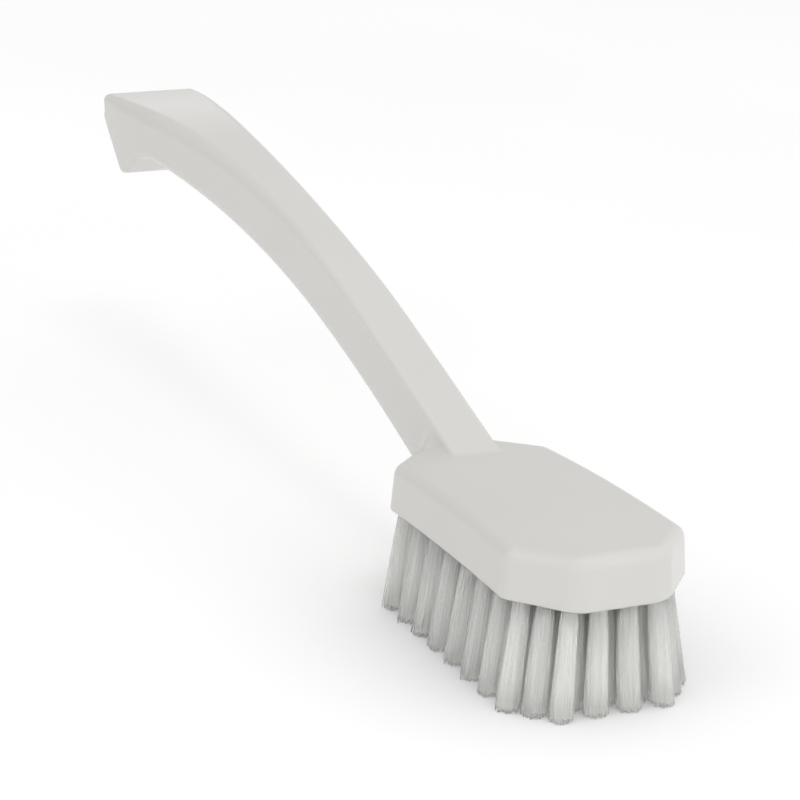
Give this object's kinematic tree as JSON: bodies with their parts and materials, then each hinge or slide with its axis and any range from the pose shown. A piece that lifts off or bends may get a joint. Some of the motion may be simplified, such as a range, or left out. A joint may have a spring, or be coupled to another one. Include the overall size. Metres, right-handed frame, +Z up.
{
  "type": "scrub brush",
  "caption": "Scrub brush: a rounded block with staggered filament tufts below and a long arched handle that ends in a hanging hook.",
  "frame": {"origin": "tip of the middle tuft, on the level of the trimmed tuft tips", "axes": "+Z up from the tips to the block, +X towards the nose, the handle runs back along -X"},
  "size_m": [0.4148, 0.0666, 0.1123],
  "materials": {
    "white_plastic": "smooth moulded polypropylene with a soft gloss",
    "white_filament": "translucent white polyester filament",
    "anchor_steel": "bright drawn stainless flat wire"
  },
  "bodies": {
    "root": {"brush_body": "white_plastic", "tuft_row_01": "white_filament", "tuft_row_02": "white_filament", "tuft_row_03": "white_filament", "tuft_row_04": "white_filament", "tuft_row_05": "white_filament", "tuft_row_06": "white_filament", "tuft_row_07": "white_filament", "tuft_row_08": "white_filament", "tuft_row_09": "white_filament", "tuft_row_10": "white_filament", "tuft_row_11": "white_filament", "tuft_row_12": "white_filament", "tuft_row_13": "white_filament", "tuft_row_14": "white_filament", "tuft_row_15": "white_filament", "tuft_row_16": "white_filament", "tuft_row_17": "white_filament", "anchor_row_01": "anchor_steel", "anchor_row_02": "anchor_steel", "anchor_row_03": "anchor_steel", "anchor_row_04": "anchor_steel", "anchor_row_05": "anchor_steel", "anchor_row_06": "anchor_steel", "anchor_row_07": "anchor_steel", "anchor_row_08": "anchor_steel", "anchor_row_09": "anchor_steel", "anchor_row_10": "anchor_steel", "anchor_row_11": "anchor_steel", "anchor_row_12": "anchor_steel", "anchor_row_13": "anchor_steel", "anchor_row_14": "anchor_steel", "anchor_row_15": "anchor_steel", "anchor_row_16": "anchor_steel", "anchor_row_17": "anchor_steel"}
  },
  "joints": []
}
